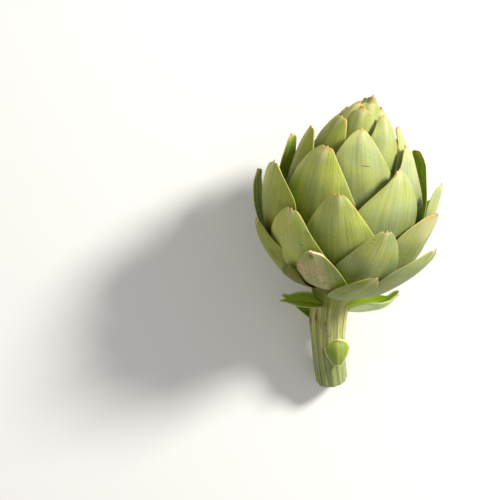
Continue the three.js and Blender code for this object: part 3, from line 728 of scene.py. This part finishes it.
def stem_place(sizes, rings):
    """The rule that puts each corner of the stem's stacked rings in its place.

    Each ring has its share of the way up the stem, and its share of the stem's radius."""
    top = HEAD_BASE + HEAD_AXIS * STEM_PLUG
    bend = HEAD_BASE.lerp(STEM_CUT, STEM_BEND_SHARE) + STEM_BOW
    line = [bezier(STEM_CUT, bend, top, i / STEM_STEPS) for i in range(STEM_STEPS + 1)]
    length = sum((b - a).length for a, b in zip(line, line[1:]))

    def place(stacked):
        share, reach = rings[int(round(stacked.z))]
        if stacked.xy.length < 0.5:
            reach = 0
        angle = math.atan2(stacked.x, stacked.y)
        way = share * length
        tangent = bezier_tangent(STEM_CUT, bend, top, share)
        right = tangent.cross(Vector((0, 0, 1))).normalized()
        up = right.cross(tangent)
        radius = mix(sizes.cut_radius, sizes.top_radius, share) / MM
        radius += STEM_FLARE * smooth(length - FLARE_FROM, length - FLARE_TO, way)
        for swelling, turn, width, rise in STEM_SWELLINGS:
            away = math.remainder(angle - turn, math.tau) / width
            radius += swelling * math.exp(-away ** 2) * hump(way, *rise)

        # Broad ribs with finer ones between them, which fade towards the head.
        wander = 0.1 * ripple(math.cos(angle), math.sin(angle), way * 0.03)
        rib = math.cos(STEM_RIBS * (angle + wander))
        fine = math.cos(3 * STEM_RIBS * angle + 4 * ripple(angle, way * 0.02, 5))
        calm = 1 - CALM_SHARE * smooth(length - CALM_FROM, length - CALM_TO, way)
        radius += (sizes.rib / MM * rib + FINE_RIB * fine) * calm
        radius += 0.25 * ripple(math.cos(angle) * 2, math.sin(angle) * 2, way * 0.06)

        # The rounded rim of the cut, and its slightly hollow face.
        rounding = RIM_DROP * (1 - clamp(way / RIM_ROUNDING, 0, 1)) if reach == 1 else 0
        spot = bezier(STEM_CUT, bend, top, share)
        spot += (right * math.sin(angle) + up * math.cos(angle)) * (radius - rounding) * reach
        cut = share == 0 and reach < 1
        if cut:
            rough = 0.12 * ripple(spot.x, spot.z)
            spot += tangent * (RIM_ROUNDING * (1 - reach ** 2) + rough)
        aside = angle * STEM_WRAP
        return spot, dict(
            lie=Vector((aside, way, 4)),
            edge=radius * (1 - reach),
            inside=float(cut),
            ridge=(rib + 0.5 * fine) / 3 + 0.5,
            marks=max(strength * math.exp(-across ** 2 - along ** 2)
                      for across, along, strength in (mark_way(mark, aside, way) for mark in STEM_MARKS)),
        )

    return place


# ---- Leaves ----
def curve_point(points, share):
    """A smooth curve through points, at a share of the way along it."""
    spans = len(points) - 1
    place = clamp(share, 0, 1) * spans
    i = min(int(place), spans - 1)
    t = place - i
    a, b = points[i], points[i + 1]
    before = points[i - 1] if i > 0 else a * 2 - b
    after = points[i + 2] if i + 2 <= spans else b * 2 - a
    return 0.5 * (2 * a + (b - before) * t + (2 * before - 5 * a + 4 * b - after) * t ** 2
                  + (3 * a - before - 3 * b + after) * t ** 3)


def leaf_place(leaf, seed):
    """The rule that puts each corner of a leaf's grid in its place beside the stem."""
    points = [Vector(point) for point in leaf["midrib"]]
    opens = Vector(leaf["opens"]).normalized()
    fold = math.radians(leaf["fold"])
    length = sum((b - a).length for a, b in zip(points, points[1:]))

    def place(across, along, inner):
        outline = math.sin(math.pi * mix(LEAF_ROOT_SHARE, 1, along)) ** leaf.get("fullness", 1)
        half = leaf["half"] * max(outline, leaf["tip"])
        reach = half * abs(across)
        ahead = curve_point(points, min(along + 0.01, 1))
        behind = curve_point(points, max(along - 0.01, 0))
        tangent = (ahead - behind).normalized()
        side = tangent.cross(opens).normalized()
        lobe = (1 + math.cos(math.tau * LOBE_TURNS * across)) / 2
        back = leaf["notch"] * along ** NOTCH_POWER * lobe
        ruffle = RUFFLE * across ** 2 * ripple(across * 2, along * 5, seed)
        round_fold = math.sqrt(reach ** 2 + 1) - 1
        deep = thinned(LEAF_THICKNESS, LEAF_MARGIN, across, along) if inner else 0
        spot = (curve_point(points, along)
                + side * (math.copysign(reach, across) * math.cos(fold))
                + side.cross(tangent) * (round_fold * math.sin(fold) + ruffle - deep)
                - tangent * back)
        from_tip = (1 - along) * length
        edge = min((1 - abs(across)) * half, from_tip)
        if leaf.get("torn"):
            edge = min(edge, TORN_SHARE * along * length)
        return spot, dict(
            lie=Vector((across * half, from_tip, seed)),
            tint=Vector((leaf["shade"], 0, leaf["bloom"])),
            mark=mark_way(leaf.get("mark", NO_MARK), across * half, from_tip),
            edge=edge,
        )

    return place


# ---- Shader nodes ----
class Wire:
    """What comes out of a shader node, so that sums can be written with it."""

    def __init__(self, socket):
        self.socket = socket

    def __add__(self, other):
        return calc("ADD", self, other)

    def __sub__(self, other):
        return calc("SUBTRACT", self, other)

    def __rsub__(self, other):
        return calc("SUBTRACT", other, self)

    def __mul__(self, other):
        return calc("MULTIPLY", self, other)

    def __truediv__(self, other):
        return calc("DIVIDE", self, other)


def feed(socket, value):
    """Links a wire to an input, or sets a constant there; None leaves the input as it is."""
    if isinstance(value, Wire):
        socket.id_data.links.new(value.socket, socket)
    elif value is not None:
        socket.default_value = value


def new_node(kind, *values, output=0, **settings):
    """A new node beside the one that its first wire comes from, fed in the order of its inputs."""
    tree = next(value.socket.id_data for value in values if isinstance(value, Wire))
    made = tree.nodes.new(kind)
    for name, value in settings.items():
        setattr(made, name, value)
    for socket, value in zip(made.inputs, values):
        feed(socket, value)
    return Wire(made.outputs[output])


def calc(operation, *values):
    """A sum of numbers."""
    return new_node("ShaderNodeMath", *values, operation=operation)


def limited(value):
    """The result of a sum, held between 0 and 1."""
    value.socket.node.use_clamp = True
    return value


def blend(share, a, b):
    """The colour a, going over to b as share goes from 0 to 1."""
    a, b = (colour if isinstance(colour, Wire) else (*colour, 1) for colour in (a, b))
    other_kinds = [None] * 5
    return new_node("ShaderNodeMix", share, *other_kinds, a, b, data_type="RGBA", output=2)


def step(value, low, high):
    """0 below low and 1 above high, smooth between them; low above high turns it round."""
    return new_node("ShaderNodeMapRange", value, low, high, interpolation_type="SMOOTHSTEP")


def parts(vector):
    """The three numbers in a place, or in a colour."""
    separate = new_node("ShaderNodeSeparateXYZ", vector).socket.node
    return [Wire(socket) for socket in separate.outputs]


def joined(x, y, z):
    return new_node("ShaderNodeCombineXYZ", x, y, z)


def scaled(vector, scale):
    return new_node("ShaderNodeVectorMath", vector, scale, operation="MULTIPLY")


def grain(vector, scale, detail, roughness):
    """Cloudy noise, about 0.5 in the middle."""
    return new_node("ShaderNodeTexNoise", vector, None, scale, detail, roughness)


def fibres(lie, across, along, detail, roughness):
    """Grain that is drawn out along a piece; across and along are cells to the millimetre."""
    return grain(scaled(lie, (across, along, 1)), 1, detail, roughness)


def grouped(name, **inputs):
    """Makes a node group with one mask out of a function of wires, at its first use.

    The inputs' defaults are numbers, and None stands for a place."""
    def wrap(build):
        def use(**values):
            made = bpy.data.node_groups.get(name) or new_group(name, inputs, build)
            return new_node("ShaderNodeGroup", *[values.get(label) for label in inputs], node_tree=made)
        return use
    return wrap


def new_group(name, inputs, build):
    """A node group whose one output is what build makes of its inputs."""
    made = bpy.data.node_groups.new(name, "ShaderNodeTree")
    for label, default in inputs.items():
        kind = "NodeSocketVector" if default is None else "NodeSocketFloat"
        socket = made.interface.new_socket(name=label.capitalize(), in_out="INPUT", socket_type=kind)
        if default is not None:
            socket.default_value = default
    made.interface.new_socket(name="Mask", in_out="OUTPUT", socket_type="NodeSocketFloat")
    entry = made.nodes.new("NodeGroupInput")
    leave = made.nodes.new("NodeGroupOutput")
    given = [Wire(entry.outputs[label.capitalize()]) for label in inputs]
    feed(leave.inputs["Mask"], build(*given))
    return made


@grouped("Lengthwise veins", lie=None)
def lengthwise_veins(lie):
    """Fine veins that run from root to tip, in two sizes."""
    fine = fibres(lie, 2.6, 0.05, 2, 0.55)
    broad = fibres(lie, 0.55, 0.02, 1, 0.5)
    return step(fine * 0.45 + broad * 0.55, 0.34, 0.66)


@grouped("Patches", place=None, scale=60.0, level=0.5, softness=0.1)
def patches(place, scale, level, softness):
    """Cloudy patches with a chosen size, cover and softness."""
    return step(grain(place, scale, 4, 0.6), level - softness, level + softness)


@grouped("Edge band", place=None, distance=1.0, width=1.0, softness=0.6)
def edge_band(place, distance, width, softness):
    """A band of uneven width along an edge."""
    uneven_width = width * (grain(place, 450, 3, 0.6) + 0.5)
    return step(distance / uneven_width, 1, 1 - softness)


@grouped("Scars", lie=None, amount=1.0)
def small_scars(lie, amount):
    """Small scratches and pits, scattered thinly over the skin."""
    def scatter(across, along, size, rarity):
        distance = new_node("ShaderNodeTexVoronoi", scaled(lie, (across, along, 1)), None, 1)
        chance = parts(Wire(distance.socket.node.outputs["Color"]))[0]
        return step(distance, size, size * 0.35) * step(chance, rarity, rarity + 0.02)

    scratches = scatter(0.13, 1.1, size=0.34, rarity=0.93)
    pits = scatter(0.5, 0.36, size=0.16, rarity=0.86)
    return limited(calc("MAXIMUM", scratches, pits) * amount)


@grouped("Cracks", lie=None)
def fine_cracks(lie):
    """Fine cracks in old skin, longer along the bract than across it."""
    wander = fibres(lie, 0.5, 0.4, 3, 0.6)
    bent = new_node("ShaderNodeVectorMath", scaled(lie, (0.5, 0.16, 1)), joined(wander * 1.8, wander, 0))
    distance = new_node("ShaderNodeTexVoronoi", bent, None, 1, feature="DISTANCE_TO_EDGE")
    broken = step(fibres(lie, 0.3, 0.3, 3, 0.7), 0.42, 0.6)
    return step(distance, 0.07, 0) * broken


@grouped("Neck", place=None)
def painted_neck_shade(place):
    """The neck, where the stem widens into the head and the bud begins: the place of the painted shade
    under the head.
    """
    out = new_node("ShaderNodeVectorMath", place, HEAD_BASE * MM, operation="SUBTRACT")
    height = new_node("ShaderNodeVectorMath", out, HEAD_AXIS / MM, operation="DOT_PRODUCT", output="Value")
    return step(height, *NECK_SHADE_BEGINS) * step(height, *NECK_SHADE_ENDS)


@grouped("Mark", mark=None, ragged=0.5)
def brown_mark(mark, ragged):
    """A single mark with a ragged edge, in its own place on a blade."""
    across, along, strength = parts(mark)
    away = across * across + along * along + ragged * 0.5
    return step(away, 1.5, 0.5) * strength


def attribute(shader, name, output="Fac"):
    """What the corners of a piece tell its skin under this name."""
    made = shader.id_data.nodes.new("ShaderNodeAttribute")
    made.attribute_name = name
    return Wire(made.outputs[output])


def new_material(name):
    """A material, its shader, and the place on the piece that is being coloured."""
    material = bpy.data.materials.new(name)
    material.use_nodes = True
    tree = material.node_tree
    place = Wire(tree.nodes.new("ShaderNodeTexCoord").outputs["Object"])
    return material, tree.nodes["Principled BSDF"], place


def finish_skin(shader, skin, rough, specular, height, depth):
    """Feeds a skin's colour, roughness, shine and relief to its shader."""
    bump = shader.id_data.nodes.new("ShaderNodeBump")
    bump.inputs["Strength"].default_value = 1
    bump.inputs["Distance"].default_value = depth
    feed(bump.inputs["Height"], height)
    feed(shader.inputs["Normal"], Wire(bump.outputs["Normal"]))
    feed(shader.inputs["Base Color"], skin)
    feed(shader.inputs["Roughness"], rough)
    feed(shader.inputs["Specular IOR Level"], specular)


def bract_skin(colours):
    """Matt waxy skin: green outside with fine veins and bloom, deeper green inside, with cream and
    golden dried tips. Distances are in millimetres, as the blades give them."""
    material, shader, place = new_material("Bract skin")
    lie, tint, mark = (attribute(shader, name, "Vector") for name in SKIN_VECTORS)
    inside, edge, wax, dry, deep = (attribute(shader, name) for name in SKIN_NUMBERS)
    shade, flush, age = parts(tint)
    aside, from_tip = parts(lie)[:2]
    off_middle = calc("ABSOLUTE", aside)
    veins = lengthwise_veins(lie=lie)

    # Green, yellower towards the tip, with a pale middle line there.
    skin = blend(age, colours.young, colours.old)
    olive = patches(place=place, scale=34, softness=0.16)
    skin = blend(olive * 0.4, skin, colours.olive)
    near_tip = step(from_tip, 34, 2)
    skin = blend(near_tip * 0.2, skin, colours.olive)
    middle = step(off_middle, 4.5, 0.3) * near_tip
    skin = blend(middle * 0.25, skin, colours.margin)

    # Grey-green bloom, most of it low down and on old bracts.
    clouds = patches(place=place, scale=62, softness=0.15)
    low_down = step(from_tip, 12, 42)
    waxy = age * 0.55 + low_down * 0.35
    # Painted shade: less grey bloom on the bracts that are painted as shaded.
    bloom = clouds * (waxy + 0.3) * calc("MINIMUM", wax + 1, 1)
    skin = blend(bloom, skin, colours.bloom)

    # Pinkish tan patches, stronger on the left side and low down.
    rosy = patches(place=scaled(lie, (0.001, 0.0006, 0.01)), scale=90, softness=0.15)
    rosy = limited((rosy + 0.25) * step(from_tip, 3, 12) * flush)
    much_flushed = step(flush, 0.9, 1.2)
    one_side = step(aside - flush, 9, -2) * (much_flushed * 0.7 + 0.3)
    rosy = rosy * calc("MAXIMUM", one_side, step(from_tip, 22, 40))
    skin = blend(rosy, skin, colours.blush)

    # Veins, speckle and soft mottling, and the bract's tone: a little at random, and otherwise painted
    # light and shade that makes the whole bract lighter or darker.
    speckle = grain(place, 700, 3, 0.7)
    mottled = patches(place=place, scale=85, softness=0.2)
    streaks = (veins * 0.2 + 0.9) * (speckle * 0.26 + 0.87) * (shade + 1) * (mottled * 0.14 + 0.93)
    # Painted sheen and shade: bluer skin on lit bracts, yellower skin on shaded ones.
    skin = scaled(skin, joined(streaks, streaks, streaks * (wax + 1)))

    # Painted shade: deeper, yellower green where the skin is tucked in under older bracts, in the gaps
    # where shade falls.
    painted_gap_shade = step(deep, 2, 5) * 0.5 + step(deep, 5, 7.5) * 0.45
    young = limited(1 - age * 2)
    skin = blend(painted_gap_shade * young, skin, scaled(skin, PAINTED_GAP_SHADE))

    inner = blend(veins, colours.inner, [c * 1.45 for c in colours.inner])
    inner = blend(step(from_tip, 30, 60) * 0.6, inner, ROOT_PALE)
    skin = blend(inside, skin, inner)

    scars = small_scars(lie=lie, amount=flush * 0.9 + 0.25)
    skin = blend(scars, skin, SCAR_BROWN)
    cracks = fine_cracks(lie=lie) * (rosy * flush)
    skin = blend(cracks * 0.75, skin, CRACK_BROWN)

    # Pale margins, golden near the tip, and the cream and dried tip itself.
    uneven = patches(place=place, scale=160, level=0.48, softness=0.14)
    golden = limited(step(from_tip, 17, 3) * (uneven + 0.35))
    wider = dry + 1
    pale = edge_band(place=place, distance=edge, width=0.7, softness=0.85)
    pale = limited(pale * (golden * 0.5 + 0.3) * wider)
    skin = blend(pale, skin, blend(golden, colours.margin, GOLDEN_RIM))
    cream = step((from_tip + off_middle * 1.5) / wider, 9, 1.5)
    skin = blend(cream * 0.55, skin, colours.cream)
    tip_way = calc("MAXIMUM", from_tip, 0) / wider
    dried = edge_band(place=place, distance=tip_way, width=1.5, softness=0.9)
    # On the much flushed bract the dried tip is pale cream, partly its own colour and partly a painted
    # highlight where the rolled rim faces the light.
    dried_skin = blend(much_flushed, colours.tip, PALE_TIP_AND_HIGHLIGHT)
    skin = blend(dried * (uneven * 0.4 + 0.4), skin, dried_skin)
    burnt = edge_band(place=place, distance=from_tip + 0.9, width=0.9, softness=0.7)
    some = patches(place=place, scale=260, level=0.52)
    skin = blend(burnt * some * 0.8, skin, BURNT_BROWN)
    skin = blend(brown_mark(mark=mark, ragged=uneven), skin, MARK_BROWN)

    rough = veins * -0.04 + 0.47 + bloom * 0.14 + dried * 0.2
    swells = fibres(lie, 0.3, 0.1, 2, 0.5)
    height = veins * 0.5 + speckle * 0.7 + swells * 1.2 - (scars + cracks) * 1.5
    finish_skin(shader, skin, rough, specular=0.2, height=height, depth=0.12 * MM)
    return material


def stem_skin(colours):
    """Matt ribbed skin: pale ridges, darker grooves, brown stains, and a cut end."""
    material, shader, place = new_material("Stem skin")
    lie = attribute(shader, "lie", "Vector")
    cut, edge, ridge, marks = (attribute(shader, name) for name in STEM_NUMBERS)
    round_stem, up_stem = parts(lie)[:2]
    veins = lengthwise_veins(lie=lie)
    lines = fibres(lie, 0.95, 0.014, 3, 0.75)
    ridges = step(ridge * 0.14 + lines * 1.56 + veins * 0.16, 0.62, 1.12)
    skin = blend(ridges, colours.groove, colours.stem)
    wide = fibres(lie, 0.16, 0.01, 2, 0.5)
    skin = blend(step(wide, 0.5, 0.62) * 0.35, skin, colours.groove)
    pale = patches(place=place, scale=50, level=0.55, softness=0.12)
    skin = blend(pale * 0.4, skin, STEM_PALE)
    skin = blend(step(up_stem, 34, 12) * 0.75, skin, scaled(skin, LOW_DOWN))
    frosted = step(fibres(lie, 1.3, 0.02, 2, 0.6), 0.56, 0.68)
    skin = blend(frosted * 0.5, skin, STEM_FROST)

    stain = patches(place=scaled(place, (1.6, 0.5, 1.6)), scale=70, level=0.63, softness=0.05)
    skin = blend(stain * 0.55, skin, STEM_STAIN)
    scars = small_scars(lie=scaled(lie, (1.6, 1.2, 1)), amount=0.7)
    skin = blend(scars, skin, STEM_SCAR)
    skin = blend(step((lines + 0.3) * marks, 0.15, 0.6), skin, STEM_MARK)

    # Painted shade at the neck, under the head, and darkest on its left, away from the key light.
    neck = painted_neck_shade(place=place)
    skin = blend(neck * 0.8, skin, scaled(skin, SHADE_AT_THE_NECK))
    left = step(round_stem, 4, -9)
    skin = blend(neck * (left * 0.6 + 0.3), skin, colours.neck)

    face = blend(grain(place, 900, 3, 0.6), PITH_DARK, PITH_PALE)
    face = blend(step(edge, 2.4, 0.9) * 0.8, face, RIND)
    skin = blend(cut, skin, face)
    height = ridges + veins * 0.4 - scars
    finish_skin(shader, skin, ridges * -0.1 + 0.66, specular=0.28, height=height, depth=0.2 * MM)
    return material


def leaf_skin(colours):
    """Smooth small leaves: vivid inside, grey-green outside, with a pale rim."""
    material, shader, place = new_material("Leaf skin")
    lie, tint, mark = (attribute(shader, name, "Vector") for name in SKIN_VECTORS)
    inside, edge = (attribute(shader, name) for name in SKIN_NUMBERS[:2])
    veins = lengthwise_veins(lie=lie)
    outer = blend(veins, colours.leaf, [c * 1.25 for c in colours.leaf])
    midrib = step(calc("ABSOLUTE", parts(lie)[0]), 1.6, 0.3)
    outer = blend(midrib * 0.35, outer, colours.margin)
    clouds = patches(place=place, scale=90, level=0.4, softness=0.2)
    shade, _, waxy = parts(tint)
    # Bloom on the leaf's outer face, partly real and partly painted light.
    outer = blend(clouds * waxy, outer, LEAF_BLOOM_AND_PAINTED_LIGHT)
    inner = blend(veins, colours.inner, [c * 1.5 for c in colours.inner])
    skin = blend(inside, outer, inner)
    mottled = patches(place=place, scale=130, softness=0.14)
    skin = blend(mottled * 0.25, skin, scaled(skin, MOTTLED))
    # Painted light and shade: the whole leaf made lighter or darker.
    skin = scaled(skin, joined(*[shade + 1] * 3))
    pale = edge_band(place=place, distance=edge, width=1.35)
    skin = blend(pale * 0.9, skin, colours.rim)
    skin = blend(brown_mark(mark=mark, ragged=mottled), skin, MARK_BROWN)
    finish_skin(shader, skin, clouds * 0.15 + 0.5, specular=0.25, height=veins, depth=0.12 * MM)
    return material


def bud_skin(colours):
    """The closed bud that shows in the gaps between the bracts."""
    material, shader, place = new_material("Bud skin")
    streaks = grain(scaled(place, (900, 90, 900)), 1, 3, 0.6)
    skin = blend(streaks, [c * 0.5 for c in colours.olive], [c * 0.8 for c in colours.olive])
    clouds = patches(place=place, scale=120, softness=0.15)
    skin = blend(clouds * 0.4, skin, BUD_OLIVE)
    # Painted shade at the neck, where the bud begins under the lowest bracts.
    skin = blend(painted_neck_shade(place=place), skin, colours.neck)
    finish_skin(shader, skin, clouds * 0.1 + 0.55, specular=0.2, height=streaks, depth=0.2 * MM)
    return material


def material_named(name, build):
    """The material of this name, which is built at its first use."""
    return bpy.data.materials.get(name) or build(bpy.context.scene.artichoke_colours)


# ---- Operators ----
class ARTICHOKE_OT_bracts(bpy.types.Operator):
    """Grow every bract of the head, in its place in the spiral"""

    bl_idname = "artichoke.bracts"
    bl_label = "Bracts"

    def execute(self, context):
        sizes = context.scene.artichoke_bracts
        skin = material_named("Bract skin", bract_skin)
        for index in bract_indexes():
            bract = bract_at(index, sizes)
            shape = blade(sizes.columns, sizes.rows, bract_place(bract, sizes))
            name = f"bract_{index}".replace(".", "_").replace("-", "low")
            finish(shape, name, skin, "head")
        return {"FINISHED"}


class ARTICHOKE_OT_bud(bpy.types.Operator):
    """Turn the closed bud that the bracts stand out of"""

    bl_idname = "artichoke.bud"
    bl_label = "Bud"

    def execute(self, context):
        skin = material_named("Bud skin", bud_skin)
        shape = bmesh.new()
        top = HEAD_HEIGHT * ENVELOPE_END
        line = [HEAD_BASE + HEAD_AXIS * CORE_START]
        for i in range(BUD_RINGS + 1):
            height = mix(CORE_START, top, i / BUD_RINGS)
            line.append(head_point(height, max(envelope_radius(height) - CORE_INSET, SMALLEST_RADIUS), 0))
        line.append(HEAD_BASE + HEAD_AXIS * top)
        verts = [shape.verts.new(spot * MM) for spot in line]
        edges = [shape.edges.new(pair) for pair in zip(verts, verts[1:])]
        bmesh.ops.spin(shape, geom=verts + edges, cent=HEAD_BASE * MM, axis=HEAD_AXIS,
                       angle=math.tau, steps=BUD_SIDES, use_merge=True)
        bmesh.ops.remove_doubles(shape, verts=shape.verts[:], dist=SAME_PLACE)
        finish(shape, "closed_bud", skin, "head", smoothing=0)
        return {"FINISHED"}


class ARTICHOKE_OT_stem(bpy.types.Operator):
    """Draw out the ribbed stem, from its cut end up into the head"""

    bl_idname = "artichoke.stem"
    bl_label = "Stem"

    def execute(self, context):
        skin = material_named("Stem skin", stem_skin)
        cut_rings = [(0, share) for share in (0.3, 0.6, 0.8, 0.9, 0.96)]
        side_rings = [(share, 1) for share in (0, 0.006, 0.015)]
        side_rings += [(i / STEM_ROWS, 1) for i in range(1, STEM_ROWS + 1)]
        rings = cut_rings + side_rings + [(1, 0.6), (1, 0.2)]
        shape = bmesh.new()
        bmesh.ops.create_circle(shape, cap_ends=True, cap_tris=True, segments=STEM_SIDES, radius=1)
        rim = [edge for edge in shape.edges if edge.is_boundary]
        for _ in rings[1:]:
            grown = bmesh.ops.extrude_edge_only(shape, edges=rim)["geom"]
            rim = [part for part in grown if isinstance(part, bmesh.types.BMEdge) and part.is_boundary]
            moved = {vert for edge in rim for vert in edge.verts}
            bmesh.ops.translate(shape, verts=list(moved), vec=(0, 0, 1))
        bmesh.ops.contextual_create(shape, geom=rim)
        settle(shape, stem_place(context.scene.artichoke_stem, rings), ["lie"], STEM_NUMBERS)
        finish(shape, "ribbed_stem", skin, "stem", smoothing=0)
        return {"FINISHED"}


class ARTICHOKE_OT_leaves(bpy.types.Operator):
    """Grow the small leaves and the bud's bract on the stem"""

    bl_idname = "artichoke.leaves"
    bl_label = "Leaves on the stem"

    def execute(self, context):
        skin = material_named("Leaf skin", leaf_skin)
        for i, (name, leaf) in enumerate(LEAVES.items()):
            shape = blade(*LEAF_GRID, leaf_place(leaf, i * LEAF_SEED_STEP), back_to_front=True)
            finish(shape, name + "_blade", skin, name)
        return {"FINISHED"}


class ARTICHOKE_OT_stage(bpy.types.Operator):
    """Set the floor, the lights and the camera"""

    bl_idname = "artichoke.stage"
    bl_label = "Stage"

    def execute(self, context):
        settings = context.scene.artichoke_stage
        scene = context.scene
        scene.view_settings.view_transform = "Standard"
        shape = bmesh.new()
        bmesh.ops.create_grid(shape, x_segments=2, y_segments=2, size=FLOOR_SIZE)
        mesh = bpy.data.meshes.new("floor")
        shape.to_mesh(mesh)
        shape.free()
        material, shader, place = new_material("Pale floor")
        cloud = grain(place, 30, 3, 0.5)
        feed(shader.inputs["Base Color"], blend(cloud, settings.floor, [c * 0.985 for c in settings.floor]))
        feed(shader.inputs["Roughness"], 0.75)
        feed(shader.inputs["Specular IOR Level"], 0.2)
        mesh.materials.append(material)
        floor = bpy.data.objects.new("floor", mesh)
        scene.collection.objects.link(floor)

        world = bpy.data.worlds.new("Even light")
        world.use_nodes = True
        sky = world.node_tree.nodes["Background"]
        feed(sky.inputs["Color"], (*SKY_COLOUR, 1))
        feed(sky.inputs["Strength"], settings.sky)
        scene.world = world

        lamp = bpy.data.lights.new("key", "AREA")
        lamp.shape = "DISK"
        lamp.size = KEY_SIZE
        lamp.energy = settings.key_power
        lamp.color = KEY_COLOUR
        key = bpy.data.objects.new("key", lamp)
        scene.collection.objects.link(key)
        around = math.radians(KEY_AROUND)
        above = math.radians(KEY_ABOVE)
        flat = math.cos(above)
        towards = Vector((math.cos(around) * flat, math.sin(around) * flat, math.sin(above)))
        key.location = towards * KEY_DISTANCE
        key.rotation_euler = towards.to_track_quat("Z", "Y").to_euler()

        lens = bpy.data.cameras.new("camera")
        lens.lens = settings.lens
        lens.sensor_width = 36
        camera = bpy.data.objects.new("camera", lens)
        scene.collection.objects.link(camera)
        camera.location = (CAMERA_X, CAMERA_Y, settings.distance)
        scene.camera = camera
        return {"FINISHED"}


class ARTICHOKE_PT_panel(bpy.types.Panel):
    """Lists the pieces and what can be changed"""

    bl_idname = "ARTICHOKE_PT_panel"
    bl_label = "Artichoke"
    bl_space_type = "VIEW_3D"
    bl_region_type = "UI"
    bl_category = "Artichoke"

    def draw(self, context):
        layout = self.layout
        for operator in OPERATORS:
            layout.operator(operator.bl_idname)
        for settings, kind in SETTINGS.items():
            box = layout.box()
            for name in kind.__annotations__:
                box.prop(getattr(context.scene, settings), name)


OPERATORS = (
    ARTICHOKE_OT_bud, ARTICHOKE_OT_bracts, ARTICHOKE_OT_stem, ARTICHOKE_OT_leaves, ARTICHOKE_OT_stage,
)
SETTINGS = {
    "artichoke_bracts": BractSizes,
    "artichoke_stem": StemSizes,
    "artichoke_colours": Colours,
    "artichoke_stage": StageSettings,
}
CLASSES = (*SETTINGS.values(), *OPERATORS, ARTICHOKE_PT_panel)


def register():
    for cls in CLASSES:
        bpy.utils.register_class(cls)
    for name, settings in SETTINGS.items():
        setattr(bpy.types.Scene, name, bpy.props.PointerProperty(type=settings))


def unregister():
    for name in SETTINGS:
        delattr(bpy.types.Scene, name)
    for cls in reversed(CLASSES):
        bpy.utils.unregister_class(cls)


def main():
    register()
    bpy.ops.artichoke.bud()
    bpy.ops.artichoke.bracts()
    bpy.ops.artichoke.stem()
    bpy.ops.artichoke.leaves()
    bpy.ops.artichoke.stage()


if __name__ == "__main__":
    main()
